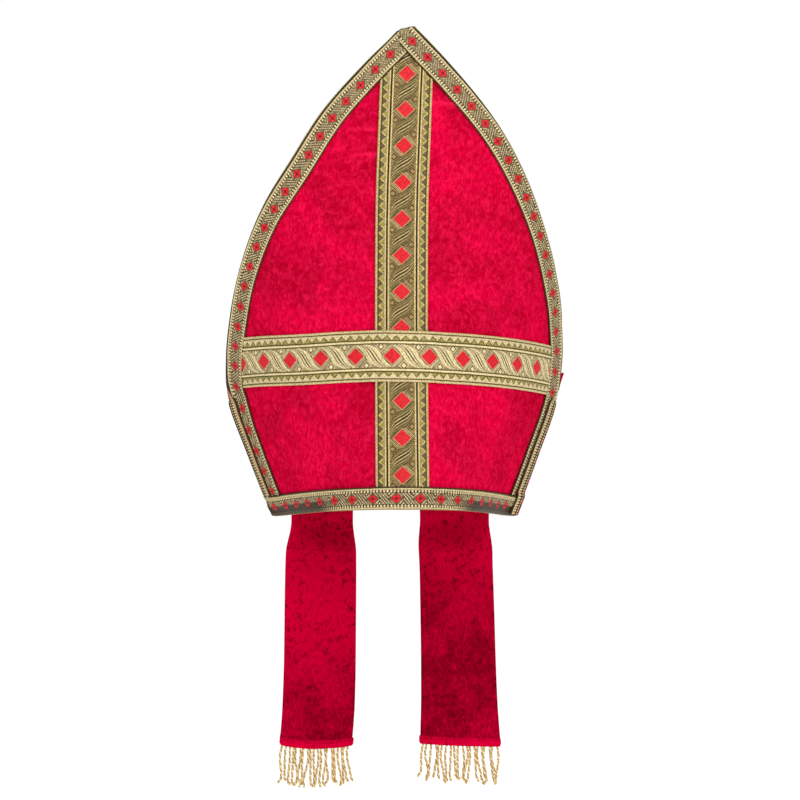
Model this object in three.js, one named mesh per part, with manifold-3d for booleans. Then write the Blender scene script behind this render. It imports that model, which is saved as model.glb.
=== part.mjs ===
// Bishop mitre of red velvet with gold woven braid.
// Millimetres, +Z up, the front faces -Y, +X is the viewer's right.
// The origin is the centre of the head opening, in the plane of the rim's side corners.
import * as THREE from "three";
import { mergeVertices } from "three/addons/utils/BufferGeometryUtils.js";
import Module from "manifold-3d";

// Shields: each is one stiff velvet sheet, described by a distance s along the cloth from its centre line
// and a height z above the rim.
const HEIGHT = 352;
const SHIELD_WALL = 3;
const SEAM_TOP = 92;
const SEAM_RELEASE = 50;
const SEAM_GAP = 0.3;
const LIP_WIDTH = 24;
const FRONT_RIM_ARCH = 5.5;
const BACK_RIM_ARCH = 8;

// Cloth from the centre line to the left and to the right edge, at each height.
const ARCS = [
  { z: 0, left: 141.5, right: 149 },
  { z: 46, left: 151.5, right: 155 },
  { z: 92, left: 161.5, right: 164 },
  { z: 120, left: 154.5, right: 164 },
  { z: 150, left: 142.5, right: 154.5 },
  { z: 185, left: 127.5, right: 135.5 },
  { z: 220, left: 108, right: 115 },
  { z: 255, left: 80.5, right: 91.5 },
  { z: 290, left: 56.5, right: 65 },
  { z: 325, left: 26, right: 33.5 },
  { z: 342, left: 9.5, right: 17 },
  { z: 352, left: 0.5, right: 7 },
];

// How a shield bends round the head at each height: the angle its cloth turns to on the left and on the right,
// the length of cloth over which it turns, how late it turns (power), how far the centre line stands from the
// side seams, and by how much the last stretch before each edge lies flat again.
const FRONT_BENDS = [
  { z: 0, left: 63, right: 63, length: 44, power: 1, depth: 104.4, leftLip: 15, rightLip: 30 },
  { z: 92, left: 73, right: 70, length: 127, power: 1, depth: 93.5, leftLip: 28, rightLip: 20 },
  { z: 150, left: 84, right: 85, length: 192, power: 1, depth: 91, leftLip: 23, rightLip: 15 },
  { z: 220, left: 81, right: 75, length: 226, power: 1, depth: 94.5, leftLip: 21, rightLip: 2 },
  { z: 290, left: 38, right: 66, length: 317, power: 1, depth: 103.7, leftLip: 20, rightLip: 2 },
  { z: 352, left: 29, right: 46, length: 413, power: 1, depth: 103.7, leftLip: 6, rightLip: 6 },
];
const BACK_BENDS = [
  { z: 0, left: 90, right: 90, length: 95, power: 1.5, depth: 87, leftLip: 15, rightLip: 15 },
  { z: 92, left: 76, right: 76, length: 125, power: 1.3, depth: 90, leftLip: 20, rightLip: 20 },
  { z: 150, left: 84, right: 84, length: 192, power: 1, depth: 91, leftLip: 18, rightLip: 18 },
  { z: 220, left: 78, right: 78, length: 226, power: 1, depth: 94.5, leftLip: 10, rightLip: 10 },
  { z: 290, left: 52, right: 52, length: 317, power: 1, depth: 103.7, leftLip: 10, rightLip: 10 },
  { z: 352, left: 38, right: 38, length: 413, power: 1, depth: 103.7, leftLip: 6, rightLip: 6 },
];

// Braids: flat woven strips sewn on the velvet.
const BRAID_WALL = 1;
const GAP = 0.3;
const BRAID_LIFT = 0.7;
const RIM_LIFT = 1.15;
const BUTT_GAP = 0.6;
const WIDE_BRAID = 37;
const NARROW_BRAID = 16.5;
const SEAM_WELT = 4;
const HORN_WELT = 2.2;
const CROSS_HEIGHT = 114.4;
const CROSS_TILT = -0.0124;
const CROSS_SAG = -0.000048;
const VERTICAL_LEAN_FROM = 200;
const VERTICAL_LEAN = 0.0002;

// Lappets: where each is sewn to the inside of the back rim, as a distance along the cloth from its centre line,
// then the middle of its cloth and its turn about the vertical at each height below.
const LAPPET_WALL = 2.2;
const LAPPET_WIDTH = 66;
const HEM_WALL = 3.6;
const HEM_HEIGHT = 7;
const LAPPET_TUCK = 16;
const TUCK_CLEAR = 1.1;
const LAPPETS = [
  {
    side: "left",
    sewn: { middle: -62, width: 71 },
    rows: [
      { z: 0, x: -51.2, y: 58.5, turn: 35 },
      { z: -40, x: -51.5, y: 60, turn: 31 },
      { z: -110, x: -51.9, y: 61, turn: 29.5 },
      { z: -150, x: -52.9, y: 61, turn: 29 },
      { z: -184, x: -55.3, y: 61, turn: 29 },
    ],
  },
  {
    side: "right",
    sewn: { middle: 63.7, width: 70.6 },
    rows: [
      { z: 0, x: 55.1, y: 59, turn: -30 },
      { z: -45, x: 56.5, y: 60, turn: -35 },
      { z: -100, x: 57.8, y: 60, turn: -34.5 },
      { z: -145, x: 58.8, y: 60, turn: -31 },
      { z: -184, x: 59.8, y: 60, turn: -21 },
    ],
  },
];

// Fringe: a woven heading and a row of hanging cords, drawn as plain strips.
const FRINGE_HEADING = 3;
const FRINGE_DEPTH = 1.8;
const FRINGE_CORDS = 18;
const FRINGE_CORD = 2.2;
const FRINGE_LENGTH = 31;

// Gusset between the horns.
const GUSSET_WALL = 1.4;
const GUSSET_INSET = 4;
const GUSSET_START = { left: 134, right: 143 };
const GUSSET_VALLEY = 94;
const GUSSET_RISE = 12;
const GUSSET_CORNER = 112;

const VELVET = { color: 0xd5053a, roughness: 0.9, metalness: 0 };
const LAPPET_VELVET = { color: 0xb0022a, roughness: 0.9, metalness: 0 };
const WIDE_GOLD = { color: 0xa28a4e, roughness: 0.5, metalness: 0.4 };
const NARROW_GOLD = { color: 0x8f855f, roughness: 0.5, metalness: 0.4 };
const FRINGE_GOLD = { color: 0xd8b96a, roughness: 0.45, metalness: 0.4 };

const smoothstep = (t) => THREE.MathUtils.smoothstep(t, 0, 1);
const lerp = THREE.MathUtils.lerp;
const radians = THREE.MathUtils.degToRad;

// A smooth curve through one column of a table, with no overshoot between its rows.
function column(table, name) {
  const rows = [...table].sort((a, b) => a.z - b.z);
  const steps = rows.slice(1).map((row, i) => row.z - rows[i].z);
  const slopes = rows.slice(1).map((row, i) => (row[name] - rows[i][name]) / steps[i]);
  const tangents = rows.map((row, i) => {
    if (i === 0) return slopes[0];
    if (i === rows.length - 1) return slopes[i - 1];
    if (slopes[i - 1] * slopes[i] <= 0) return 0;
    const before = 2 * steps[i] + steps[i - 1];
    const after = steps[i] + 2 * steps[i - 1];
    return (before + after) / (before / slopes[i - 1] + after / slopes[i]);
  });
  return (z) => {
    const at = THREE.MathUtils.clamp(z, rows[0].z, rows[rows.length - 1].z);
    let i = 0;
    while (i < steps.length - 1 && at > rows[i + 1].z) i += 1;
    const t = (at - rows[i].z) / steps[i];
    const rise = t * t * (3 - 2 * t);
    const leave = t * (1 - t) * (1 - t) * steps[i] * tangents[i];
    const arrive = t * t * (t - 1) * steps[i] * tangents[i + 1];
    return lerp(rows[i][name], rows[i + 1][name], rise) + leave + arrive;
  };
}

function side(bends, name) {
  return {
    arc: column(ARCS, name),
    bend: column(bends, name),
    length: column(bends, "length"),
    power: column(bends, "power"),
    lip: column(bends, `${name}Lip`),
  };
}

function shield(bends, facing, arch) {
  return { facing, arch, depth: column(bends, "depth"), left: side(bends, "left"), right: side(bends, "right") };
}

const front = shield(FRONT_BENDS, -1, FRONT_RIM_ARCH);
const back = shield(BACK_BENDS, 1, BACK_RIM_ARCH);

// How far the cloth has gone across and inwards after a distance s from the centre line.
function run(half, s, z) {
  const STEPS = 48;
  const arc = half.arc(z);
  const bend = half.bend(z);
  const length = half.length(z);
  const power = half.power(z);
  const lip = half.lip(z);
  let across = 0;
  let inwards = 0;
  for (let i = 0; i < STEPS; i += 1) {
    const at = (s * (i + 0.5)) / STEPS;
    const flat = lip * smoothstep((at - arc + LIP_WIDTH) / LIP_WIDTH);
    const angle = radians(bend * Math.tanh((at / length) ** power) - flat);
    across += (Math.cos(angle) * s) / STEPS;
    inwards += (Math.sin(angle) * s) / STEPS;
  }
  return { across, inwards };
}

// The outer surface of a shield. Below the top of the side seam its edges meet the other shield's.
function surface(sheet, s, z) {
  const name = s < 0 ? "left" : "right";
  const half = sheet[name];
  const here = run(half, Math.abs(s), z);
  const edge = run(half, half.arc(z), z);
  const seam = run(front[name], front[name].arc(z), z);
  const sewn = 1 - smoothstep((z - SEAM_TOP) / SEAM_RELEASE);
  const depth = sheet.depth(z);
  const across = here.across * lerp(1, seam.across / edge.across, sewn);
  const inwards = here.inwards * lerp(1, depth / edge.inwards, sewn);
  return new THREE.Vector3(Math.sign(s) * across, sheet.facing * (depth - inwards), z);
}

// A point off the surface of a shield: lift is the distance outwards, and is negative towards the head.
function lifted(sheet, s, z, lift) {
  const STEP = 0.5;
  const point = surface(sheet, s, z);
  const along = surface(sheet, s + STEP, z).sub(surface(sheet, s - STEP, z));
  const up = surface(sheet, s, z + STEP).sub(surface(sheet, s, z - STEP));
  const outwards = along.cross(up).normalize().multiplyScalar(-sheet.facing);
  point.addScaledVector(outwards, lift);
  point.y = sheet.facing * Math.max(sheet.facing * point.y, SEAM_GAP / 2);
  return point;
}

// Height of the rim's cut edge at a distance s from the centre line.
function rim(sheet, s) {
  const arc = sheet[s < 0 ? "left" : "right"].arc(0);
  return sheet.arch * Math.cos((Math.PI / 2) * Math.min(1, Math.abs(s) / arc));
}

// A box with a grid of faces, bent so that place(u, v, w) gives each point for u, v and w from 0 to 1.
function bentSheet(columns, rows, place) {
  const box = new THREE.BoxGeometry(1, 1, 1, columns, rows, 1);
  const position = box.getAttribute("position");
  for (let i = 0; i < position.count; i += 1) {
    const u = position.getX(i) + 0.5;
    const v = position.getY(i) + 0.5;
    const w = position.getZ(i) + 0.5;
    position.setXYZ(i, ...place(u, v, w).toArray());
  }
  box.computeVertexNormals();
  return box;
}

// Across a shield the columns stand closer at the centre line and at both edges, where the cloth turns most.
const SHIELD_COLUMNS = 22;
function gradedAcross(u) {
  const q = 2 * u - 1;
  return q - 0.08 * Math.sin(2 * Math.PI * q);
}

// Up a shield the rows stand closer about the top of the side seam, where the horns part.
const HEIGHT_ROWS = 26;
const GRADED_HEIGHTS = (() => {
  const heights = [0];
  for (let i = 0; i < HEIGHT_ROWS; i += 1) {
    const away = Math.abs(heights[i] - SEAM_TOP - SEAM_RELEASE / 3);
    heights.push(heights[i] + lerp(0.5, 1, smoothstep(away / 70)) * 16);
  }
  return heights.map((height) => (height * HEIGHT) / heights[HEIGHT_ROWS]);
})();
const gradedHeight = (v) => GRADED_HEIGHTS[Math.round(v * HEIGHT_ROWS)];

// From the viewer's left to right when looked at from outside, for either shield.
const fromLeft = (sheet, u) => (sheet.facing < 0 ? u : 1 - u);

function shieldPanel(sheet) {
  return bentSheet(SHIELD_COLUMNS, HEIGHT_ROWS, (u, v, w) => {
    const across = gradedAcross(fromLeft(sheet, u));
    const height = gradedHeight(v);
    const rimHeight = sheet.arch * Math.cos((Math.PI / 2) * Math.abs(across));
    const z = rimHeight + (height * (HEIGHT - rimHeight)) / HEIGHT;
    const s = across * sheet[across < 0 ? "left" : "right"].arc(z);
    return lifted(sheet, s, z, (w - 1) * SHIELD_WALL);
  });
}

// A place on a shield, measured inwards from its edge at the height z along the cloth.
function inFromEdge(half, z, inwards) {
  const STEP = 0.5;
  const slope = (half.arc(z + STEP) - half.arc(z - STEP)) / (2 * STEP);
  const length = Math.hypot(1, slope);
  return { s: half.arc(z) - inwards / length, z: z + (inwards * slope) / length };
}

// The edge braid lies beside the bound edge of the horn, and beside the welt of the side seam below it.
const edgeInset = (z) => lerp(SEAM_WELT, HORN_WELT, smoothstep((z - SEAM_TOP + 8) / 16));

// Height at which the line that runs a distance inwards from the edge comes to the centre line.
function meetingHeight(half, inwards) {
  let z = SEAM_TOP;
  while (z < HEIGHT - 1 && inFromEdge(half, z, inwards).s > GAP / 2) z += 0.25;
  return z;
}

function edgeBraid(sheet, name) {
  const half = sheet[name];
  const sign = name === "left" ? -1 : 1;
  const top = { outer: meetingHeight(half, HORN_WELT), inner: meetingHeight(half, NARROW_BRAID + HORN_WELT) };
  const start = NARROW_BRAID + BUTT_GAP;
  return bentSheet(2, HEIGHT_ROWS, (u, v, w) => {
    const leftwards = fromLeft(sheet, u);
    const inwards = (sign < 0 ? leftwards : 1 - leftwards) * NARROW_BRAID;
    const share = gradedHeight(v) / HEIGHT;
    const end = lerp(top.outer, top.inner, inwards / NARROW_BRAID);
    const along = start + share * (end - start);
    const place = inFromEdge(half, along, inwards + edgeInset(along));
    const lowest = rim(sheet, place.s) + start;
    const s = Math.max(place.s, GAP / 2);
    return lifted(sheet, sign * s, Math.max(place.z, lowest + share), BRAID_LIFT + w * BRAID_WALL);
  });
}

function rimBraid(sheet) {
  const WELT_CLEAR = 1;
  return bentSheet(SHIELD_COLUMNS, 2, (u, v, w) => {
    const across = gradedAcross(fromLeft(sheet, u));
    const height = v === 0.5 ? GRADED_HEIGHTS[1] : v * NARROW_BRAID;
    const half = sheet[across < 0 ? "left" : "right"].arc(height);
    const s = THREE.MathUtils.clamp(across * half, WELT_CLEAR - half, half - WELT_CLEAR);
    return lifted(sheet, s, rim(sheet, s) + height, RIM_LIFT + w * BRAID_WALL);
  });
}

// Half the width left between the edge braids of the front shield at a height, on one side.
function between(half, z) {
  let along = z;
  for (let i = 0; i < 4; i += 1) {
    along += z - inFromEdge(half, along, NARROW_BRAID + edgeInset(along)).z;
    along = Math.min(along, HEIGHT - 1);
  }
  return inFromEdge(half, along, NARROW_BRAID + edgeInset(along)).s - BUTT_GAP;
}

const verticalLean = (z) => VERTICAL_LEAN * Math.max(0, z - VERTICAL_LEAN_FROM) ** 2;

function verticalBand() {
  const bottom = NARROW_BRAID + BUTT_GAP;
  const inner = NARROW_BRAID + HORN_WELT;
  const top = Math.min(meetingHeight(front.left, inner), meetingHeight(front.right, inner)) - 12;
  return bentSheet(4, 24, (u, v, w) => {
    const z = lerp(bottom + FRONT_RIM_ARCH, top, v);
    const lean = verticalLean(z);
    const left = Math.max(-WIDE_BRAID / 2 + lean, -between(front.left, z));
    const right = Math.min(WIDE_BRAID / 2 + lean, between(front.right, z));
    return lifted(front, lerp(left, right, u), z, BRAID_LIFT + w * BRAID_WALL);
  });
}

function crossBand() {
  const COLUMNS = 30;
  const RAMP = 10;
  return bentSheet(COLUMNS, 2, (u, v, w) => {
    const across = gradedAcross(u);
    const half = across < 0 ? front.left : front.right;
    let s = 0;
    let z = CROSS_HEIGHT;
    for (let i = 0; i < 3; i += 1) {
      s = across * between(half, z);
      z = CROSS_HEIGHT + CROSS_TILT * s + CROSS_SAG * s * s + (v - 0.5) * WIDE_BRAID;
    }
    const over = smoothstep((WIDE_BRAID / 2 + RAMP + 2 - Math.abs(s)) / RAMP);
    return lifted(front, s, z, BRAID_LIFT + over * (2 * GAP + BRAID_WALL) + w * BRAID_WALL);
  });
}

// The gusset hangs from just inside both horns and folds down to a valley over the head.
function crownGusset() {
  const middle = (t, v) => {
    const name = t < 0 ? "left" : "right";
    const sign = t < 0 ? -1 : 1;
    const z = lerp(HEIGHT - 9, GUSSET_START[name], Math.abs(t));
    const inset = -(SHIELD_WALL + BUTT_GAP + GUSSET_WALL);
    const sheet = v < 0.5 ? front : back;
    const s = sign * Math.max(0, sheet[name].arc(z) - GUSSET_INSET) * Math.min(1, Math.abs(t) * 8);
    const horn = lifted(sheet, s, z, inset);
    const x = sign * GUSSET_CORNER * Math.abs(t);
    const valley = new THREE.Vector3(x, 0, GUSSET_VALLEY + GUSSET_RISE * (1 - t * t));
    const up = Math.abs(2 * v - 1);
    return valley.lerp(horn, up);
  };
  return bentSheet(20, 12, (u, v, w) => {
    const STEP = 0.01;
    const t = 2 * u - 1;
    const point = middle(t, v);
    const across = middle(Math.min(1, t + STEP), v).sub(middle(Math.max(-1, t - STEP), v));
    const along = middle(t, Math.min(1, v + STEP)).sub(middle(t, Math.max(0, v - STEP)));
    const upwards = across.cross(along).normalize();
    return point.addScaledVector(upwards, (w - 0.5) * GUSSET_WALL);
  });
}

// A lappet is tucked inside the back rim and hangs freely below it.
function lappetPlace(rows, u, z, lift) {
  const at = (name) => column(rows, name)(z);
  const turn = radians(at("turn"));
  const along = (u - 0.5) * LAPPET_WIDTH;
  const point = new THREE.Vector3(at("x"), at("y"), z);
  point.x += Math.cos(turn) * along + Math.sin(turn) * lift;
  point.y += Math.sin(turn) * along - Math.cos(turn) * lift;
  return point;
}

function lappet({ sewn, rows }) {
  const bottom = rows[rows.length - 1].z;
  return bentSheet(6, 16, (u, v, w) => {
    const z = lerp(bottom, LAPPET_TUCK, v);
    const hem = 1 - smoothstep((z - bottom - HEM_HEIGHT) / 2);
    const wall = lerp(LAPPET_WALL, HEM_WALL, hem);
    const hanging = lappetPlace(rows, u, z, (w - 0.5) * wall);
    const tucked = smoothstep((z + 30) / 26);
    if (tucked === 0) return hanging;
    const s = sewn.middle + (u - 0.5) * sewn.width;
    const inside = -(SHIELD_WALL + TUCK_CLEAR + w * LAPPET_WALL);
    return hanging.lerp(lifted(back, s, z, inside), tucked);
  });
}

const wasm = await Module();
wasm.setup();

function toSolid(geometry) {
  const bare = geometry.clone();
  bare.deleteAttribute("normal");
  bare.deleteAttribute("uv");
  const merged = mergeVertices(bare, 1e-4);
  const vertProperties = Float32Array.from(merged.getAttribute("position").array);
  const triVerts = Uint32Array.from(merged.index.array);
  return new wasm.Manifold(new wasm.Mesh({ numProp: 3, vertProperties, triVerts }));
}

function fromSolid(solid) {
  const { vertProperties, triVerts } = solid.getMesh();
  const geometry = new THREE.BufferGeometry();
  geometry.setAttribute("position", new THREE.BufferAttribute(Float32Array.from(vertProperties), 3));
  geometry.setIndex(new THREE.BufferAttribute(Uint32Array.from(triVerts), 1));
  geometry.computeVertexNormals();
  return geometry;
}

// The cords differ a little in length and splay to and fro, and all grow out of the heading.
function fringe({ rows }) {
  const top = rows[rows.length - 1].z - GAP;
  const heading = bentSheet(6, 1, (u, v, w) => {
    const edge = 0.02 + 0.96 * u;
    const point = lappetPlace(rows, edge, top, (w - 0.5) * FRINGE_DEPTH);
    point.z -= (1 - v) * FRINGE_HEADING;
    return point;
  });
  let solid = toSolid(heading);
  for (let i = 0; i < FRINGE_CORDS; i += 1) {
    const middle = 0.02 + (0.96 * (i + 0.5)) / FRINGE_CORDS;
    const width = FRINGE_CORD / LAPPET_WIDTH;
    const length = FRINGE_LENGTH - 1.6 * (1 + Math.sin(i * 2.4));
    const splay = (middle - 0.5) * 0.06 + 0.008 * Math.sin(i * 1.7);
    const cord = bentSheet(1, 3, (u, v, w) => {
      const drop = 1 - v;
      const taper = lerp(1, 0.8, drop);
      const across = middle + (u - 0.5) * width * taper + splay * drop * drop;
      const lift = (w - 0.5) * FRINGE_CORD * taper + 1.2 * Math.sin(i * 2.9) * drop * drop;
      const point = lappetPlace(rows, across, top, lift);
      point.z -= lerp(FRINGE_HEADING / 2, length, drop);
      return point;
    });
    solid = solid.add(toSolid(cord));
  }
  return fromSolid(solid);
}

const mitre = new THREE.Group();

function addPiece(name, geometry, finish) {
  const mesh = new THREE.Mesh(geometry, new THREE.MeshStandardMaterial(finish));
  mesh.name = name;
  mitre.add(mesh);
}

addPiece("front_panel", shieldPanel(front), VELVET);
addPiece("back_panel", shieldPanel(back), VELVET);
addPiece("crown_gusset", crownGusset(), VELVET);
addPiece("vertical_band", verticalBand(), WIDE_GOLD);
addPiece("cross_band", crossBand(), WIDE_GOLD);
for (const name of ["left", "right"]) {
  addPiece(`front_edge_braid_${name}`, edgeBraid(front, name), NARROW_GOLD);
  addPiece(`back_edge_braid_${name}`, edgeBraid(back, name), NARROW_GOLD);
}
addPiece("front_rim_braid", rimBraid(front), NARROW_GOLD);
addPiece("back_rim_braid", rimBraid(back), NARROW_GOLD);
for (const strip of LAPPETS) {
  addPiece(`lappet_${strip.side}`, lappet(strip), LAPPET_VELVET);
  addPiece(`fringe_${strip.side}`, fringe(strip), FRINGE_GOLD);
}

export default mitre;
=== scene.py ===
"""Looks of a bishop mitre: red crushed velvet, woven gold braid and twisted gold fringe."""
import math

import bmesh
import bpy
import numpy as np
from bpy.props import FloatProperty, FloatVectorProperty, IntProperty, PointerProperty
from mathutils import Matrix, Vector


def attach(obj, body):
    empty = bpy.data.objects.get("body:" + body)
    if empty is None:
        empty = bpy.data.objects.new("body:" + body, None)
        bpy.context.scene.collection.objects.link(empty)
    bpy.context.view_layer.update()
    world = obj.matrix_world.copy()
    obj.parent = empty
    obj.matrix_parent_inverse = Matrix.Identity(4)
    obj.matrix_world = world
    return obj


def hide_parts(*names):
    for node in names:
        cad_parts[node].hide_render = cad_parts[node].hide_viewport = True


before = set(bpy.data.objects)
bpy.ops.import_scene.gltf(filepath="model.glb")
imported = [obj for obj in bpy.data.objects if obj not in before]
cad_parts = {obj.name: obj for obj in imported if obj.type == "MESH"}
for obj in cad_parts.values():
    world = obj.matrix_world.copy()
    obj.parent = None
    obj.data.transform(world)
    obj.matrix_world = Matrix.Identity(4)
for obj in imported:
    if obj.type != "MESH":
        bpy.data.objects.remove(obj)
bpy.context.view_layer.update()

bl_info = {
    "name": "Bishop Mitre",
    "version": (1, 0, 0),
    "blender": (4, 5, 0),
    "location": "View3D > Sidebar > Mitre",
    "description": "Builds a velvet mitre with woven braid, lappets and fringe",
    "category": "Object",
}

MM = 0.001

# The shields, in millimetres: the same tables of sizes as the solids have.
HEIGHT = 352.0
SHIELD_WALL = 3.0
SEAM_TOP = 92.0
SEAM_RELEASE = 50.0
SEAM_GAP = 0.3
LIP_WIDTH = 24.0
ARCS = {
    "z": (0, 46, 92, 120, 150, 185, 220, 255, 290, 325, 342, 352),
    "left": (141.5, 151.5, 161.5, 154.5, 142.5, 127.5, 108, 80.5, 56.5, 26, 9.5, 0.5),
    "right": (149, 155, 164, 164, 154.5, 135.5, 115, 91.5, 65, 33.5, 17, 7),
}
FRONT_BENDS = {
    "z": (0, 92, 150, 220, 290, 352),
    "left": (63, 73, 84, 81, 38, 29),
    "right": (63, 70, 85, 75, 66, 46),
    "length": (44, 127, 192, 226, 317, 413),
    "power": (1, 1, 1, 1, 1, 1),
    "depth": (104.4, 93.5, 91, 94.5, 103.7, 103.7),
    "leftLip": (15, 28, 23, 21, 20, 6),
    "rightLip": (30, 20, 15, 2, 2, 6),
}
BACK_BENDS = {
    "z": (0, 92, 150, 220, 290, 352),
    "left": (90, 76, 84, 78, 52, 38),
    "right": (90, 76, 84, 78, 52, 38),
    "length": (95, 125, 192, 226, 317, 413),
    "power": (1.5, 1.3, 1, 1, 1, 1),
    "depth": (87, 90, 91, 94.5, 103.7, 103.7),
    "leftLip": (15, 20, 18, 10, 10, 6),
    "rightLip": (15, 20, 18, 10, 10, 6),
}
# each braid's width, and the distance from one of its diamonds to the next
WIDE_BRAID, WIDE_PITCH = 37.0, 26.1
NARROW_BRAID, NARROW_PITCH = 16.5, 16.15
# how far in from the edge each narrow braid starts, by height: below 92 mm a seam, above it the
# edge of a horn
INSETS = {
    "left": {"z": (0, 58, 76, 86, 96, 108, 118, 130, 150, 180, 352),
             "in": (4.4, 3.9, 5.3, 5.6, 4.3, 2.4, 1.9, 1.2, 0.9, 0.0, 0.1)},
    "right": {"z": (0, 84, 102, 121, 148, 189, 257, 272, 295, 315, 352),
              "in": (1.6, 1.6, 1.2, 1.0, 0.3, -0.6, -1.0, -0.8, 0.15, 0.8, 1.6)},
}
BRAID_LIFT = 0.7
RIM_LIFT = 1.15
CROSS_HEIGHT = 114.4
# where every third diamond of the narrow braids falls, as a distance along the edge below the tip
BEATS = {
    "left": (-25.2, -71.5, -117.5, -166.5, -214.5, -261.8, -312.0, -363.0),
    "right": (-11.8, -58.2, -105.2, -153.5, -202.0, -250.2, -298.3, -346.8),
}
# the plane that trims the braids at the tip: a point in it, and the way it faces
TIP_CUT = ((5.8, 0, 350.0), (-0.25, 0, 0.97))
# height of the weave's relief, and how thick the rolled-over edges of a braid and of a tape are
RELIEF = 0.9
BRAID_WALL = 0.9
TAPE_WALL = 0.6
# spacing of the points that carry the weave on the tapes, and on the plainer braids behind
TAPE_CELL = 0.5
BACK_CELL = 0.75
# the tape on a side seam: how far in from the seam it starts and ends, the height where it begins,
# and its width; the wide one shows at the right of the front
WIDE_TAPE = (12.6, -0.1, 1.0, 9.4)
PLAIN_TAPE = (9.6, 0.2, 13.5, 9.0)
LAPPET_WIDTH = 66.0
LAPPET_TUCK = 16.0
LAPPETS = {
    "left": {"z": (0, -40, -110, -150, -184), "x": (-51.2, -51.5, -51.9, -52.9, -55.3),
             "y": (58.5, 60, 61, 61, 61), "turn": (35, 31, 29.5, 29, 29)},
    "right": {"z": (0, -45, -100, -145, -184), "x": (55.1, 56.5, 57.8, 58.8, 59.8),
              "y": (59, 60, 60, 60, 60), "turn": (-30, -35, -34.5, -31, -21)},
}
# where each lappet is sewn inside the back rim: the middle of its stretch of cloth, and the length of it
SEWN = {"left": (-63.8, 76.0), "right": (65.2, 73.6)}
# height of each lappet's hem at its left end, its middle and its right end
HEMS = {"left": (-179.2, -184.7, -184.6), "right": (-183.0, -183.4, -182.7)}


def smooth(t):
    t = np.clip(t, 0.0, 1.0)
    return t * t * (3.0 - 2.0 * t)


def blend(a, b, t):
    return a + (b - a) * t


def column(table, name):
    """A smooth curve through one column of a table, with no overshoot between its rows."""
    order = np.argsort(table["z"])
    z = np.array(table["z"], float)[order]
    y = np.array(table[name], float)[order]
    step = np.diff(z)
    slope = np.diff(y) / step
    tangent = np.concatenate(([slope[0]], np.zeros(len(z) - 2), [slope[-1]]))
    for i in range(1, len(z) - 1):
        if slope[i - 1] * slope[i] > 0:
            before, after = 2 * step[i] + step[i - 1], step[i] + 2 * step[i - 1]
            tangent[i] = (before + after) / (before / slope[i - 1] + after / slope[i])

    def at(height):
        height = np.clip(height, z[0], z[-1])
        i = np.clip(np.searchsorted(z, height, side="right") - 1, 0, len(step) - 1)
        t = (height - z[i]) / step[i]
        curve = t * (1 - t) ** 2 * step[i] * tangent[i] + t * t * (t - 1) * step[i] * tangent[i + 1]
        return y[i] + (y[i + 1] - y[i]) * smooth(t) + curve

    return at


class Shield:
    """One stiff sheet of the mitre: s is the distance along its cloth from the centre line, z the height."""

    def __init__(self, bends, facing, arch, seam=None):
        self.facing, self.arch = facing, arch
        self.arcs = {side: column(ARCS, side) for side in ("left", "right")}
        self.curves = {name: column(bends, name) for name in bends if name != "z"}
        levels = np.linspace(0, HEIGHT, 353)
        self.levels = levels
        self.edges = {}
        for side, sign in (("left", -1.0), ("right", 1.0)):
            s = sign * self.arcs[side](levels)
            self.edges[side] = self.run(s, levels)
        self.seam = seam.edges if seam else self.edges

    def arc(self, s, z):
        return np.where(s < 0, self.arcs["left"](z), self.arcs["right"](z))

    def run(self, s, z):
        """How far the cloth has gone across and inwards after a distance s from the centre line."""
        c = self.curves
        sides = s < 0
        arc = self.arc(s, z)[..., None]
        bend = np.where(sides, c["left"](z), c["right"](z))[..., None]
        lip = np.where(sides, c["leftLip"](z), c["rightLip"](z))[..., None]
        length, power = c["length"](z)[..., None], c["power"](z)[..., None]
        reach = np.abs(s)[..., None]
        at = reach * (np.arange(40) + 0.5) / 40
        flat = lip * smooth((at - arc + LIP_WIDTH) / LIP_WIDTH)
        angle = np.radians(bend * np.tanh((at / length) ** power) - flat)
        return (np.cos(angle) * reach).mean(-1), (np.sin(angle) * reach).mean(-1)

    def surface(self, s, z):
        across, inwards = self.run(s, z)
        sewn = 1 - smooth((z - SEAM_TOP) / SEAM_RELEASE)
        own = {k: np.where(s < 0, np.interp(z, self.levels, self.edges["left"][k]),
                           np.interp(z, self.levels, self.edges["right"][k])) for k in (0, 1)}
        seam = np.where(s < 0, np.interp(z, self.levels, self.seam["left"][0]),
                        np.interp(z, self.levels, self.seam["right"][0]))
        depth = self.curves["depth"](z)
        across = across * blend(1.0, seam / own[0], sewn)
        inwards = inwards * blend(1.0, depth / own[1], sewn)
        return np.stack([np.sign(s) * across, self.facing * (depth - inwards), z], -1)

    def lifted(self, s, z, lift):
        """A point off the cloth: lift is the distance outwards, and is negative towards the head."""
        s, z = np.broadcast_arrays(np.asarray(s, float), np.asarray(z, float))
        point = self.surface(s, z)
        along = self.surface(s + 0.5, z) - self.surface(s - 0.5, z)
        up = self.surface(s, z + 0.5) - self.surface(s, z - 0.5)
        out = np.cross(along, up) * -self.facing
        out /= np.linalg.norm(out, axis=-1, keepdims=True)
        point = point + out * np.asarray(lift)[..., None]
        point[..., 1] = self.facing * np.maximum(self.facing * point[..., 1], SEAM_GAP / 2)
        return point

    def rim(self, s):
        """Height of the cut edge of the rim."""
        return self.arch * np.cos(np.pi / 2 * np.minimum(1.0, np.abs(s) / self.arc(s, np.zeros_like(s))))

    def in_from_edge(self, side, z, inwards):
        """A place on the cloth, measured inwards from the edge at height z."""
        slope = self.arcs[side](z + 0.5) - self.arcs[side](z - 0.5)
        length = np.hypot(1.0, slope)
        sign = -1.0 if side == "left" else 1.0
        return sign * (self.arcs[side](z) - inwards / length), z + inwards * slope / length


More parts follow.
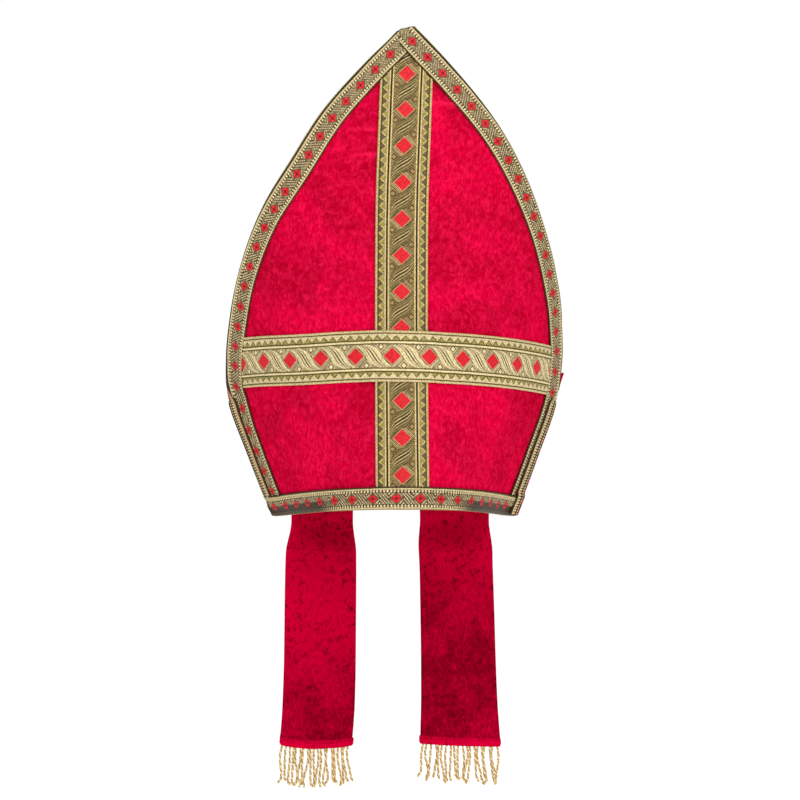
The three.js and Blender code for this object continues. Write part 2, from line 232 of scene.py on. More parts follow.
FRONT = Shield(FRONT_BENDS, -1.0, 5.5)
BACK = Shield(BACK_BENDS, 1.0, 8.0, FRONT)


def colour(code):
    """Linear colour of an sRGB hex code."""
    parts = [int(code[i:i + 2], 16) / 255 for i in (0, 2, 4)]
    return [p / 12.92 if p <= 0.04045 else ((p + 0.055) / 1.055) ** 2.4 for p in parts] + [1.0]


def add_node(tree, kind, settings=None, links=None, **inputs):
    """Adds a node: settings are its own properties, links join sockets of other nodes to its inputs."""
    node = tree.nodes.new("ShaderNode" + kind)
    for key, value in (settings or {}).items():
        setattr(node, key, value)
    for key, value in inputs.items():
        node.inputs[key.replace("_", " ")].default_value = value
    for key, socket in (links or {}).items():
        tree.links.new(socket, node.inputs[key])
    return node


def new_material(name):
    material = bpy.data.materials.new(name)
    material.use_nodes = True
    tree = material.node_tree
    tree.nodes.clear()
    output = add_node(tree, "OutputMaterial")
    return material, tree, output


def mix(tree, factor, first, second, kind="MIX"):
    """A colour between two: each may be a colour or a socket."""
    node = add_node(tree, "Mix", {"data_type": "RGBA", "blend_type": kind})
    for index, value in ((0, factor), (6, first), (7, second)):
        if isinstance(value, bpy.types.NodeSocket):
            tree.links.new(value, node.inputs[index])
        else:
            node.inputs[index].default_value = value
    return node.outputs[2]


def noise(tree, place, scale, detail, roughness, distortion=0.0):
    """Cloudy values, for patches and for flecks."""
    node = add_node(tree, "TexNoise", None, {"Vector": place}, Scale=scale, Detail=detail,
                    Roughness=roughness, Distortion=distortion)
    return node.outputs["Fac"]


def spread(tree, value, low, high, **to):
    """Values from low to high, stretched over the range from 0 to 1 or over the one in to."""
    node = add_node(tree, "MapRange", None, {"Value": value}, From_Min=low, From_Max=high, **to)
    return node.outputs["Result"]


def painted_on(tree, name):
    """The sockets of a colour attribute of the mesh."""
    return add_node(tree, "Attribute", {"attribute_type": "GEOMETRY", "attribute_name": name}).outputs


def rough_surface(tree, output, tint, height, strength, depth, **finish):
    """A surface of one tint with fine bumps, joined to the material's output."""
    bump = add_node(tree, "Bump", None, {"Height": height}, Strength=strength, Distance=depth)
    shader = add_node(tree, "BsdfPrincipled", None, {"Base Color": tint, "Normal": bump.outputs["Normal"]},
                      **finish)
    tree.links.new(shader.outputs[0], output.inputs["Surface"])


def velvet(name, base, deep, bright, crush=1.0):
    """Crushed velvet: a dense cut pile, pressed down in patches, that shimmers from deep to bright red."""
    material, tree, output = new_material(name)
    place = add_node(tree, "TexCoord").outputs["Object"]
    # pressed patches 20 to 40 mm across, tufts that lean together over 3 to 5 mm, and upright streaks
    # of single tufts
    clouds = noise(tree, place, 26.0, 3.0, 0.55, 0.5)
    patches = noise(tree, place, 230.0, 3.0, 0.62, 0.8)
    streaks = add_node(tree, "Mapping", None, {"Vector": place}, Scale=(1.0, 1.0, 0.42)).outputs[0]
    tufts = noise(tree, streaks, 620.0, 2.0, 0.6)
    large = spread(tree, clouds, 0.51 - 0.15 / crush, 0.51 + 0.15 / crush)
    small = spread(tree, patches, 0.36, 0.64)
    fine = spread(tree, tufts, 0.38, 0.62)
    black = (0.0, 0.0, 0.0, 1.0)
    tint = mix(tree, large, deep, base)
    tint = mix(tree, mix(tree, 0.55, small, black), tint, bright)
    tint = mix(tree, mix(tree, 0.35, fine, black), tint, deep)
    # the attribute pile says where the pile is brushed up, as along a hem or a crease; on the lappets it
    # also carries painted light, brighter towards the top
    pile = painted_on(tree, "pile")["Fac"]
    stands = add_node(tree, "MapRange", None, {"Value": patches, "To Max": pile}, From_Min=0.3, From_Max=0.5)
    tint = mix(tree, stands.outputs["Result"], tint, bright)
    height = add_node(tree, "Math", {"operation": "MULTIPLY_ADD"}, {0: patches, 2: tufts})
    height.inputs[1].default_value = 1.6
    rough_surface(tree, output, tint, height.outputs[0], 0.4, 0.0006, Roughness=0.85, Sheen_Weight=0.03,
                  Sheen_Roughness=0.4, Sheen_Tint=colour("FF3058"), Specular_IOR_Level=0.0)
    return material


def woven(name, ground, cream, red, dark, olive):
    """Woven braid: the attribute weave gives the shares of cream, red, dark and olive thread on top."""
    material, tree, output = new_material(name)
    weave = painted_on(tree, "weave")
    shares = add_node(tree, "SeparateColor", None, {"Color": weave["Color"]}).outputs
    place = add_node(tree, "TexCoord").outputs["Object"]
    # weft threads 0.5 mm apart show as glints of 0.5 to 1 mm
    glints = noise(tree, place, 1300.0, 2.0, 0.7)
    glint = spread(tree, glints, 0.32, 0.68, To_Min=0.4, To_Max=1.25)
    tint = mix(tree, weave["Alpha"], ground, olive)
    tint = mix(tree, shares["Blue"], tint, dark)
    tint = mix(tree, shares["Red"], tint, cream)
    tint = mix(tree, shares["Green"], tint, red)
    tint = mix(tree, 1.0, tint, glint, "MULTIPLY")
    rough_surface(tree, output, tint, glints, 0.3, 0.0003, Metallic=0.1, Roughness=0.5,
                  Specular_IOR_Level=0.15)
    return material


def twisted(name, light, shadow):
    """Twisted metal thread: painted glints and painted shadow, in flecks spread at random between a light
    and a shadow colour.
    """
    material, tree, output = new_material(name)
    place = add_node(tree, "TexCoord").outputs["Object"]
    glints = noise(tree, place, 1300.0, 2.0, 0.7)
    tint = mix(tree, spread(tree, glints, 0.36, 0.54), shadow, light)
    rough_surface(tree, output, tint, glints, 0.4, 0.0003, Metallic=0.1, Roughness=0.45)
    return material


def painted(name, tone, glow):
    """Matt studio floor, lit a little from below so that it keeps the paleness of the background."""
    material, tree, output = new_material(name)
    shader = add_node(tree, "BsdfPrincipled", Base_Color=tone, Roughness=0.9, Emission_Color=tone,
                      Emission_Strength=glow)
    tree.links.new(shader.outputs[0], output.inputs["Surface"])
    return material


MATERIALS = {}


def grid_piece(name, columns, rows, place, material, paint=None, wall=None, rim_only=False, cuts=()):
    """A sheet made from a flat grid: place(u, v) gives its points in mm, with u and v from 0 to 1.

    paint is the name of a colour attribute and what works it out; cuts lists planes in mm, each a point
    and a direction, and the cloth beyond them is trimmed off."""
    bm = bmesh.new()
    bmesh.ops.create_grid(bm, x_segments=columns, y_segments=rows, size=0.5)
    flat = np.array([vert.co for vert in bm.verts])
    low, high = flat.min(0), flat.max(0)
    u = (flat[:, 0] - low[0]) / (high[0] - low[0])
    v = (flat[:, 1] - low[1]) / (high[1] - low[1])
    points = place(u, v) * MM
    for vert, point in zip(bm.verts, points.tolist()):
        vert.co = point
    if paint:
        layer = bm.verts.layers.float_color.new(paint[0])
        for vert, shade in zip(bm.verts, np.stack(paint[1](u, v), -1).tolist()):
            vert[layer] = shade
    for point, facing in cuts:
        parts = bm.verts[:] + bm.edges[:] + bm.faces[:]
        bmesh.ops.bisect_plane(bm, geom=parts, plane_co=Vector(point) * MM, plane_no=facing,
                               clear_outer=True)
    for face in bm.faces:
        face.smooth = True
    mesh = bpy.data.meshes.new(name)
    bm.to_mesh(mesh)
    bm.free()
    return finish_piece(name, mesh, material, wall, rim_only)


def finish_piece(name, mesh, material=None, wall=None, rim_only=False):
    piece = bpy.data.objects.new(name, mesh)
    bpy.context.scene.collection.objects.link(piece)
    if material:
        mesh.materials.append(MATERIALS[material])
    if wall:
        solid = piece.modifiers.new("Wall", "SOLIDIFY")
        solid.thickness, solid.offset = wall * MM, -1.0
        solid.use_rim_only = rim_only
    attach(piece, "root")
    return piece


def between(x, low, high, soft=0.15):
    """1 from low to high, with edges softened over a distance in mm."""
    return smooth((x - low) / soft + 0.5) * smooth((high - x) / soft + 0.5)


def rib(x, middle, half):
    """Height of a round thread of height 1."""
    return np.sqrt(np.maximum(0.0, 1.0 - ((x - middle) / half) ** 2))


def wave(a, pitch):
    """Distance from the nearest multiple of the pitch, as a share from 0 to 1."""
    return np.abs(2.0 * (a / pitch - np.floor(a / pitch + 0.5)))


class Cloth:
    """Collects the height and the thread colours of a woven pattern."""

    def __init__(self, a):
        self.height, self.cream, self.red, self.dark, self.olive = (np.zeros_like(a) for _ in range(5))

    def lay(self, mask, height, cream=0.0, red=0.0, dark=0.0, olive=0.0):
        threads = (("height", height), ("cream", cream), ("red", red), ("dark", dark), ("olive", olive))
        for name, value in threads:
            setattr(self, name, blend(getattr(self, name), value, mask))

    def paint(self):
        return self.cream, self.red, self.dark, self.olive


def wide_weave(a, c, upright):
    """Wide braid: red stepped diamonds with a ribbon folded between them, and a border of small triangles.

    a runs along the braid and c across it, in mm. On the upright band the ribbon's floats and much of its
    cream are painted dark: painted shade, as there the floats lie across the light."""
    pitch, half = WIDE_PITCH, 6.25
    cloth = Cloth(a)

    # pick gives the upright band's value first: there the cream shares are painted darker, as painted shade
    def pick(on_upright, on_level):
        return on_upright if upright else on_level

    far = np.abs(c)
    gap = a - (np.floor(a / pitch) + 0.5) * pitch
    near = a - np.round(a / pitch) * pitch
    middle = far < 8.6
    speck = smooth(0.5 + 0.8 * np.sin(a * 4.4) * np.sin(c * 4.3))
    cloth.lay(1.0, 0.1, cream=0.3)
    cloth.lay(middle, 0.1, cream=pick(0.5, 0.6) * speck, dark=0.75 * (1 - speck))
    # thin ribs that pass behind, beside the diamonds
    square = (np.abs(near) + far) / half
    behind = middle * (near * c < 0)
    rings = ((1.15, 0, 0.055), (1.27, 1, 0.065), (1.39, 0, 0.055), (1.51, 1, 0.065), (1.62, 0, 0.05))
    for ring, share, width in rings:
        mask = behind * between(square, ring - width, ring + width, 0.04)
        cloth.lay(mask, 0.12 + 0.15 * share, cream=pick(0.6, 0.9) * share,
                  dark=0.9 * (1 - share))
    # small diamonds in the corners
    for sign in (-1.0, 1.0):
        small = np.abs(gap - sign * 5.1) / 2.9 + np.abs(c - sign * 6.7) / 3.1
        cloth.lay(middle * between(small, 0.95, 1.25, 0.12), 0.2, cream=pick(0.2, 0.8))
        cloth.lay(middle * between(small, -1, 0.95, 0.15), 0.12, dark=0.85)
        cloth.lay(middle * between(small, -1, 0.6, 0.12), 0.25, cream=pick(0.3, 0.9))
    # the ribbon; on the upright band its floats are painted dark, as painted shade
    turn = gap + 0.62 * c + 5.0 * (c / 8.2) ** 5
    cloth.lay(middle * between(turn, -6.6, 6.6), 0.05, dark=1.0)
    inner_edge = pick(2.15, 2.6)
    for low, high in ((-6.1, -inner_edge), (inner_edge, 6.1)):
        texture = 0.5 + 0.5 * np.sin(turn * 4.4)
        fold = 0.28 + 0.12 * rib(turn, (low + high) / 2, 2.0) + 0.04 * texture
        cloth.lay(middle * between(turn, low, high), fold, cream=pick(0.08 * texture, 0.3 + 0.4 * texture),
                  dark=pick(0.85, 0.35), olive=0.25)
    thread = pick(0.42, 0.58)
    for line, share in ((-5.3, 0.25), (-3.5, 0.45), (-1.25, 1.0), (1.25, 1.0), (3.5, 0.45), (5.3, 0.25)):
        mask = middle * between(turn, line - thread, line + thread, 0.3)
        cloth.lay(mask, 0.15 + 0.28 * rib(turn, line, 0.8), cream=pick(0.8 * share, 0.85 + 0.15 * share),
                  olive=0.6, dark=pick(0.5 * (1 - share), 0.0))
    # the diamond, stepped as the weave is, with a pale and then a dark outline
    stepped = 0.5 * square + 0.5 * (np.round(np.abs(near) / 0.9) + np.round(far / 0.9)) * 0.9 / half
    cloth.lay(between(stepped, -1, 1.24, 0.08), 0.1, dark=0.9)
    cloth.lay(between(stepped, -1, 1.12, 0.08), 0.2, cream=0.85)
    dots = 0.5 + 0.5 * np.cos(near * 3.5) * np.cos(c * 3.5)
    cloth.lay(between(stepped, -1, 1.0, 0.08), 0.42 + 0.08 * dots, red=1.0 - 0.5 * (1 - dots) ** 2, dark=1.0)
    # the ribs beside the middle zone
    bars = pick(((8.5, 8.8, 0, 0), (8.8, 9.8, 1, 0), (9.8, 11.1, 0, 1), (11.1, 12.1, 1, 0)),
                ((8.5, 9.15, 0, 0.75), (9.15, 10.75, 1, 0), (10.75, 11.45, 0, 0.85)))
    for low, high, share, shadow in bars:
        cloth.lay(between(far, low, high), 0.1 + 0.35 * share * rib(far, (low + high) / 2, 0.8),
                  cream=0.9 * share, dark=shadow, olive=1.0 - share)
    # the triangles
    inner = pick(12.2, 11.5)
    tooth = inner + 3.7 * wave(a + 0.5 * np.sign(c), pitch / 4)
    border = far > inner
    strokes = 0.5 + 0.5 * np.sin(a * 5.5 + far * 3.0)
    cloth.lay(between(far, inner, 16.0), 0.16, cream=pick(0.15, 0.45 + 0.5 * strokes),
              dark=pick(0.95, 0.5 * (1 - strokes)))
    cloth.lay(border * between(far - tooth, -9, 0), 0.24, olive=1.0, cream=0.1)
    if upright:
        cloth.lay(border * between(far - tooth, -0.42, 0.3), 0.3, cream=0.85, olive=1.0)
    else:
        cloth.lay(border * between(far - tooth, -0.75, -0.05), 0.1, dark=0.9)
    # the selvedge
    beads = 0.5 + 0.5 * np.cos(2 * np.pi * a / 1.9)
    cloth.lay(between(far, 16.0, 16.9), 0.05, dark=pick(0.5 + 0.4 * beads, 0.7), olive=0.5)
    cloth.lay(between(far, 16.9, 19.0), 0.12 + (0.3 + 0.12 * beads) * rib(far, 17.7, 1.1),
              cream=0.45 + 0.3 * beads, olive=0.8, dark=0.15 * (1 - beads))
    return cloth


def narrow_weave(a, c, crisp):
    """Narrow braid: small red diamonds with a ribbon of fine ribs between them, and beaded selvedges.

    crisp, from 0 to 1, is how clearly the ribs stand apart; where the braid is stretched they mix to
    a fleck."""
    pitch = NARROW_PITCH
    half_along, half_across = 3.6, 3.2
    cloth = Cloth(a)
    far = np.abs(c)
    gap = a - (np.floor(a / pitch) + 0.5) * pitch
    near = a - np.round(a / pitch) * pitch
    across = np.sin(c * 4.5 + 1.5 * np.sin(a * 1.3))
    speck = smooth(0.5 + 0.8 * np.sin(a * 4.3 + 0.6 * np.sin(c * 2.1)) * across)
    cloth.lay(1.0, 0.08, cream=0.6 * speck, dark=0.75 * (1 - speck))
    square = np.abs(near) / half_along + far / half_across
    behind = (near * c < 0) * (far < 5.0)
    for ring, share in ((1.4, 0), (1.6, 1), (1.8, 0), (2.0, 1)):
        mask = behind * crisp * between(square, ring - 0.1, ring + 0.1, 0.06)
        cloth.lay(mask, 0.08 + 0.1 * share, cream=0.85 * share, dark=0.95 * (1 - share))
    for sign in (-1.0, 1.0):
        ring = np.hypot(gap - sign * 3.4, c - sign * 3.3)
        cloth.lay((0.3 + 0.7 * crisp) * between(ring, -1, 1.4, 0.3), 0.06, dark=0.9)
        cloth.lay((0.3 + 0.7 * crisp) * between(ring, -1, 0.55, 0.25), 0.25, cream=1.0)
    turn = gap + 0.78 * c + 1.2 * (c / 4.6) ** 5
    zone = (far < 4.6) * (0.55 + 0.45 * crisp)
    cloth.lay(zone * between(turn, -4.6, 4.6), 0.03, dark=1.0)
    for line in (-3.3, -1.1, 1.1, 3.3):
        broken = 0.65 + 0.35 * np.sin(a * 2.9 - c * 3.3 + line)
        cloth.lay(zone * between(turn, line - 0.5, line + 0.5, 0.3), 0.1 + 0.3 * rib(turn, line, 0.7),
                  cream=0.95 * broken, dark=0.5 * (1 - broken))
    stepped = 0.5 * square + 0.5 * (np.round(np.abs(near) / 0.75) * 0.75 / half_along
                                    + np.round(far / 0.75) * 0.75 / half_across)
    cloth.lay(between(stepped, -1, 1.5, 0.1), 0.1, cream=0.1, dark=0.8, olive=0.6)
    cross = np.minimum(1.0, between(np.abs(near), -1, 0.5, 0.3) + between(far, -1, 0.5, 0.3))
    heart = between(np.hypot(near, c), -1, 1.0, 0.3)
    cloth.lay(between(stepped, -1, 1.06, 0.12), 0.4 - 0.2 * cross, red=1.0 - 0.5 * cross - 0.35 * heart,
              dark=1.0)
    # each selvedge: a row of beads, a row of dark stitches, a cream cord, and the dark edge, which is dark
    # stitching and painted shadow where the braid meets the velvet
    beads = smooth(0.5 + 0.9 * np.cos(2 * np.pi * a / 2.35))
    dashes = smooth(0.5 + 0.9 * np.cos(2 * np.pi * a / 2.35 + 2.4))
    cloth.lay(between(far, 3.9, 4.5), 0.02, dark=0.95)
    cloth.lay(between(far, 4.5, 5.7), 0.08 + 0.3 * beads * rib(far, 5.1, 0.7), cream=0.95 * beads,
              dark=0.95 * (1 - beads))
    cloth.lay(between(far, 5.7, 6.3), 0.04, dark=0.55 + 0.45 * dashes, cream=0.2)
    cloth.lay(between(far, 6.3, 7.3), 0.1 + 0.3 * rib(far, 6.8, 0.7), cream=0.55 + 0.25 * beads,
              olive=0.7, dark=0.1)
    cloth.lay(between(far, 7.3, 9.0), 0.02, dark=0.7 + 0.3 * dashes, olive=0.4)
    return cloth


def tape_weave(a, c, beaded, red_edge):
    """Edging tape: two rows of beads on the side seam, and two plain cords on the edge of a horn."""
    cloth = Cloth(a)
    beads = blend(0.75, smooth(0.5 + 0.9 * np.cos(2 * np.pi * a / 2.1)), beaded)
    cloth.lay(1.0, 0.05, dark=0.85)
    for line in (-1.4, 1.4):
        cloth.lay(between(c, line - 0.8, line + 0.8), 0.1 + 0.3 * beads * rib(c, line, 1.0),
                  cream=0.75 * beads, dark=0.85 * (1 - beads), olive=0.8 * (1 - 0.6 * beaded))
    # a tan thread lies along the inner edge, and the far edge shows the red of what is behind
    cloth.lay(beaded * (1 - red_edge) * between(c, 2.4, 3.3), 0.2, cream=0.5, red=0.16)
    # on the wide tape, past this cream line towards the braid, the dark ground is left as a strip of painted
    # shadow beside the braid
    cloth.lay(red_edge * between(c, 2.2, 2.7), 0.2, cream=0.6)
    patchy = smooth(0.6 + 0.8 * np.sin(a * 0.75))
    cloth.lay(red_edge * between(c, -4.5, -2.5), 0.1, red=0.75 * patchy, dark=0.8)
    return cloth


def braid_piece(name, sheet, length, width, cell, follow, weave, lift, material, cuts=()):
    """A woven strip on a shield: follow(a, c) gives the place on the cloth, and weave the relief on it."""
    def where(u, v):
        return u * length, (v - 0.5) * width

    def place(u, v):
        a, c = where(u, v)
        s, z, start, rise = follow(a, c)
        edge = rib(c, 0.0, width / 2 + 0.01) ** 0.25
        return sheet.lifted(s, z, rise + lift + edge + weave(start, c).height * RELIEF)

    def colours(u, v):
        a, c = where(u, v)
        return weave(follow(a, c)[2], c).paint()

    paint = ("weave", colours)
    return grid_piece(name, int(length / cell), int(width / cell), place, material, paint, BRAID_WALL, True,
                      cuts)


def shield_velvet(name, sheet, detail, creases=()):
    """The velvet face of a shield, with the soft hollows that a padded sheet has between its braids."""
    def cloth(u, v):
        q = 2 * u - 1 if sheet.facing < 0 else 1 - 2 * u
        rim = sheet.arch * np.cos(np.pi / 2 * np.abs(q))
        z = rim + v * (HEIGHT - 4 - rim)
        # the cloth stops just short of the edge, under the braid
        return q, q * np.maximum(0, sheet.arc(q, z) - 0.7 - 0.5 * smooth((z - 90) / 20)), z

    def place(u, v):
        q, s, z = cloth(u, v)
        ripple = 0.35 * np.sin(s / 17.0 + z / 43.0) * np.sin(z / 29.0 - s / 61.0)
        inside = smooth((1 - np.abs(q)) / 0.12) * smooth(v / 0.05) * smooth((1 - v) / 0.05)
        return sheet.lifted(s, z, ripple * inside + 0.5 * brushed(s, z))

    def brushed(s, z):
        up = np.zeros_like(s)
        for low, high, height, rise in creases:
            along = smooth((s - low) / 5 + 0.5) * smooth((high - s) / 5 + 0.5)
            line = height + rise * (s - low) / (high - low)
            up = up + 0.55 * along * np.exp(-((z - line) / 1.2) ** 2)
        return up

    def pile(u, v):
        up = brushed(*cloth(u, v)[1:])
        return up, up, up, np.ones_like(up)

    return grid_piece(name, *detail, place, "velvet", ("pile", pile), SHIELD_WALL)


def course(sheet, side, inset):
    """A line that runs up a shield at a distance in from its edge: heights, and distances below the tip."""
    z = np.linspace(0.0, HEIGHT, 1409)
    points = sheet.surface(*sheet.in_from_edge(side, z, inset(z)))
    steps = np.linalg.norm(np.diff(points, axis=0), axis=1)
    along = np.concatenate(([0.0], np.cumsum(steps)))
    return z, along - along[-1]


def edge_braid(name, sheet, side, cell, beats):
    """A narrow braid up one edge of a horn; beats gives where every third diamond falls below the tip.

    Its lower end is tucked under the rim braid, and near the tip it lies over the upright band. The braid on
    the right lies over the one on the left, and its raw end shows just past the centre line."""
    inset = column(INSETS[side], "in")
    z_line, a_line = course(sheet, side, lambda z: NARROW_BRAID / 2 + inset(z))
    tuck, raw_end, bent, straight = 10.0, 2.6, 326.0, 338.0
    start, last = np.interp((tuck, straight), z_line, a_line)
    outward = -sheet.facing if side == "left" else sheet.facing
    # from here up the braid runs straight on, in the direction that it has had since a little lower
    middle = NARROW_BRAID / 2 + inset(straight)
    ends = np.array(sheet.in_from_edge(side, np.array([bent, straight]), middle))
    ahead = (ends[:, 1] - ends[:, 0]) / np.linalg.norm(ends[:, 1] - ends[:, 0])
    beyond, radius = 12.0, 2.2
    numbers = np.arange(len(beats)) * -3.0
    gap = NARROW_PITCH * 3
    ahead_of_zero = 40

    def follow(a, c):
        level = start + a
        held = np.minimum(level, last)
        z = np.interp(held, a_line, z_line)
        w = NARROW_BRAID / 2 - outward * c + inset(z)
        for _ in range(3):
            s, up = sheet.in_from_edge(side, z, w)
            lack = np.maximum(0, sheet.rim(s) + tuck - 1.0 - up)
            z = z + lack * (1 - smooth(a / 40))
        # the outer edge is turned back round the edge of the shield
        turned = np.maximum(0, radius - w)
        turn = np.minimum(turned / radius, np.pi / 2)
        w = np.maximum(w, radius) - radius * np.sin(turn)
        drop = radius * (1 - np.cos(turn)) + np.maximum(0, turned - radius * np.pi / 2)
        s, up = sheet.in_from_edge(side, z, w)
        s, up = s + (level - held) * ahead[0], up + (level - held) * ahead[1]
        rise = 1.4 * smooth((up - 298) / 14) - drop
        if side == "right":
            rise = rise + 1.2 * smooth((up - 322) / 10)
        # past either end of the list the diamonds keep their usual distance
        count = np.interp(-level, -np.array(beats), numbers)
        count += np.maximum(0, level - beats[0]) / gap * 3 - np.maximum(0, beats[-1] - level) / gap * 3
        return s, up, (count + ahead_of_zero) * NARROW_PITCH, rise

    def weave(a, c):
        return narrow_weave(a, c, blend(1.0, 0.25, smooth((a - NARROW_PITCH * 30) / 160)))

    side_cut = ((raw_end, 0, 0), (1, 0, 0)) if side == "left" else ((-raw_end, 0, 0), (-1, 0, 0))
    return braid_piece(name, sheet, beyond - start, NARROW_BRAID, cell, follow, weave,
                       BRAID_LIFT, "narrow_braid", (side_cut, TIP_CUT))


def edge_tape(name, sheet, side, cell, seam):
    """Tape that is wrapped round the cut edge of a horn, and below it lies along the side seam.

    seam is WIDE_TAPE or PLAIN_TAPE. The wide one lies over the rim braid, and its far edge shows red."""
    inner, outer, bottom, width = seam
    inset = column(INSETS[side], "in")
    wide = seam is WIDE_TAPE
    shift = 4.5 if wide else 3.5
    z_line, a_line = course(sheet, side, lambda z: 0.0 * z)
    start = float(np.interp(bottom, z_line, a_line))

    def parts(u, v):
        a = start + u * -start
        z = np.interp(a, a_line, z_line)
        return a, (1 - v) * width - shift, z, 1 - smooth((z - SEAM_TOP + 8) / 16)

    def place(u, t):
        _, c, z, sewn = parts(u, t)
        cords = 0.5 * np.maximum(rib(c, -1.4, 0.95), rib(c, 1.4, 0.95))
        over_rim = 1.5 * (1 - smooth((z - NARROW_BRAID + 2) / 4)) * wide
        dome = 2.1 + 0.8 * np.sin(np.pi * t) - 2.0 * smooth((t - 0.6) / 0.4) + cords + over_rim
        turn = np.pi * t
        full = 1.3 + (0.0 if side == "left" else blend(1.4, 0.6, smooth((z - 190) / 30)))
        # on a horn both edges of the tape stay hidden under the braid
        hidden = np.maximum(1.3, inset(z) + 0.6)
        w = blend(hidden - (hidden - 1.3 + full) * np.sin(turn), blend(inner, outer, t), sewn)
        lift = blend(-1.1 + 2.2 * np.cos(turn), dome, sewn)
        s, up = sheet.in_from_edge(side, z, w)
        return sheet.lifted(s, up, lift)

    def colours(u, v):
        a, c, _, sewn = parts(u, v)
        return tape_weave(a, c, sewn, sewn * wide).paint()

    side_cut = ((1.0, 0, 0), (1, 0, 0)) if side == "left" else ((2.0, 0, 0), (-1, 0, 0))
    return grid_piece(name, int(-start / cell), 16, place, "narrow_braid", ("weave", colours), TAPE_WALL,
                      True, (side_cut, TIP_CUT))


class MITRE_OT_velvet(bpy.types.Operator):
    """Makes the velvet of both shields and the gusset between the horns"""
    bl_idname = "mitre.velvet"
    bl_label = "Velvet shields"

    def execute(self, context):
        creases = ((20, 40, 296, 0.5), (-36, -20, 277, -1.0), (-34, -19, 258, 0.5))
        front = shield_velvet("front_velvet", FRONT, (180, 200), creases)
        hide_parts("front_panel")
        back = shield_velvet("back_velvet", BACK, (110, 130))
        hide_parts("back_panel")
        gusset = self.gusset()
        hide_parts("crown_gusset")
        return {"FINISHED"}

    def area(self, piece):
        return sum(face.area for face in piece.data.polygons)

    def gusset(self):
        def place(u, v):
            t = 2 * u - 1
            left = t < 0
            z = blend(HEIGHT - 9, np.where(left, 134.0, 143.0), np.abs(t))
            s = np.sign(t) * np.maximum(0, FRONT.arc(t, z) - 4.0) * np.minimum(1, np.abs(t) * 8)
            horns = {sheet: sheet.lifted(s, z, -5.0 + 0.7) for sheet in (FRONT, BACK)}
            horn = np.where((v < 0.5)[:, None], horns[FRONT], horns[BACK])
            valley = np.stack([112.0 * t, 0.0 * t, 94.0 + 12.0 * (1 - t * t)], -1)
            up = np.abs(2 * v - 1)
            sag = 3.0 * np.sin(np.pi * up) * (1 - t * t)
            point = blend(valley, horn, (up ** 1.12)[:, None])
            # at the right corner a little of the folded cloth is pinched out between the horns
            pinch = (1 - up) ** 5
            point[:, 0] += 21.0 * pinch * smooth((t - 0.86) / 0.1)
            point[:, 2] += 17.0 * pinch * smooth((t - 0.95) / 0.05) - sag
            return point

        return grid_piece("gusset_velvet", 70, 60, place, "velvet_inner", None, 1.4)


class MITRE_OT_bands(bpy.types.Operator):
    """Makes the two wide woven bands that cross on the front"""
    bl_idname = "mitre.bands"
    bl_label = "Wide bands"

    def execute(self, context):
        look = context.scene.mitre
        cell = look.band_cell
        # both ends of the upright band are tucked under the narrow braids
        bottom, top = 15.0, 338.0
        insets = {side: column(INSETS[side], "in") for side in INSETS}

        def room(side, z, inwards):
            along = z + 0.0
            for _ in range(5):
                gone = FRONT.in_from_edge(side, along, inwards + insets[side](along))[1]
                along = np.minimum(along + z - gone, HEIGHT - 1)
            return np.abs(FRONT.in_from_edge(side, along, inwards + insets[side](along))[0])

        def upright(a, c):
            z = bottom + a
            s = -1.02 * c + 0.0002 * np.maximum(0, z - 200) ** 2
            s = np.clip(s, -room("left", z, 4.0), room("right", z, 4.0))
            drift = 1.5 * smooth((z - 230) / 90) + 1.3 * smooth((110 - z) / 90)
            return s, z, z + drift - 317.7 + WIDE_PITCH * 12, 0.0

        piece = braid_piece("vertical_band_weave", FRONT, top - bottom, WIDE_BRAID, cell, upright,
                            lambda a, c: wide_weave(a, c, True), BRAID_LIFT, "band_upright")
        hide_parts("vertical_band")
        left = -(room("left", np.array([CROSS_HEIGHT]), NARROW_BRAID)[0] + 6)
        right = room("right", np.array([CROSS_HEIGHT]), NARROW_BRAID)[0] + 6

        def level(a, c):
            s = left + a
            z = CROSS_HEIGHT - 0.0124 * s - 0.000048 * s * s - 1.2 * np.exp(-((s + 75) / 35) ** 2) + c
            s = np.clip(s, -(room("left", z, NARROW_BRAID) - 0.5), room("right", z, NARROW_BRAID) - 0.5)
            return s, z, s + 6.6 + WIDE_PITCH * 12, 1.7 * smooth((WIDE_BRAID / 2 + 12 - np.abs(s)) / 10)

        piece = braid_piece("cross_band_weave", FRONT, right - left, WIDE_BRAID, cell, level,
                            lambda a, c: wide_weave(a, c, False), BRAID_LIFT, "band_level")
        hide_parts("cross_band")
        return {"FINISHED"}


class MITRE_OT_edges(bpy.types.Operator):
    """Makes the narrow braid up the edges of both horns, and the tape that covers the edge itself"""
    bl_idname = "mitre.edges"
    bl_label = "Edge braids"

    def execute(self, context):
        look = context.scene.mitre
        for which, sheet, cell in (("front", FRONT, look.edge_cell), ("back", BACK, BACK_CELL)):
            for side in ("left", "right"):
                piece = edge_braid(f"{which}_edge_weave_{side}", sheet, side, cell, BEATS[side])
                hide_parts(f"{which}_edge_braid_{side}")
                seam = WIDE_TAPE if (which, side) == ("front", "right") else PLAIN_TAPE
                tape = edge_tape(f"{which}_edge_tape_{side}", sheet, side, TAPE_CELL, seam)
        return {"FINISHED"}


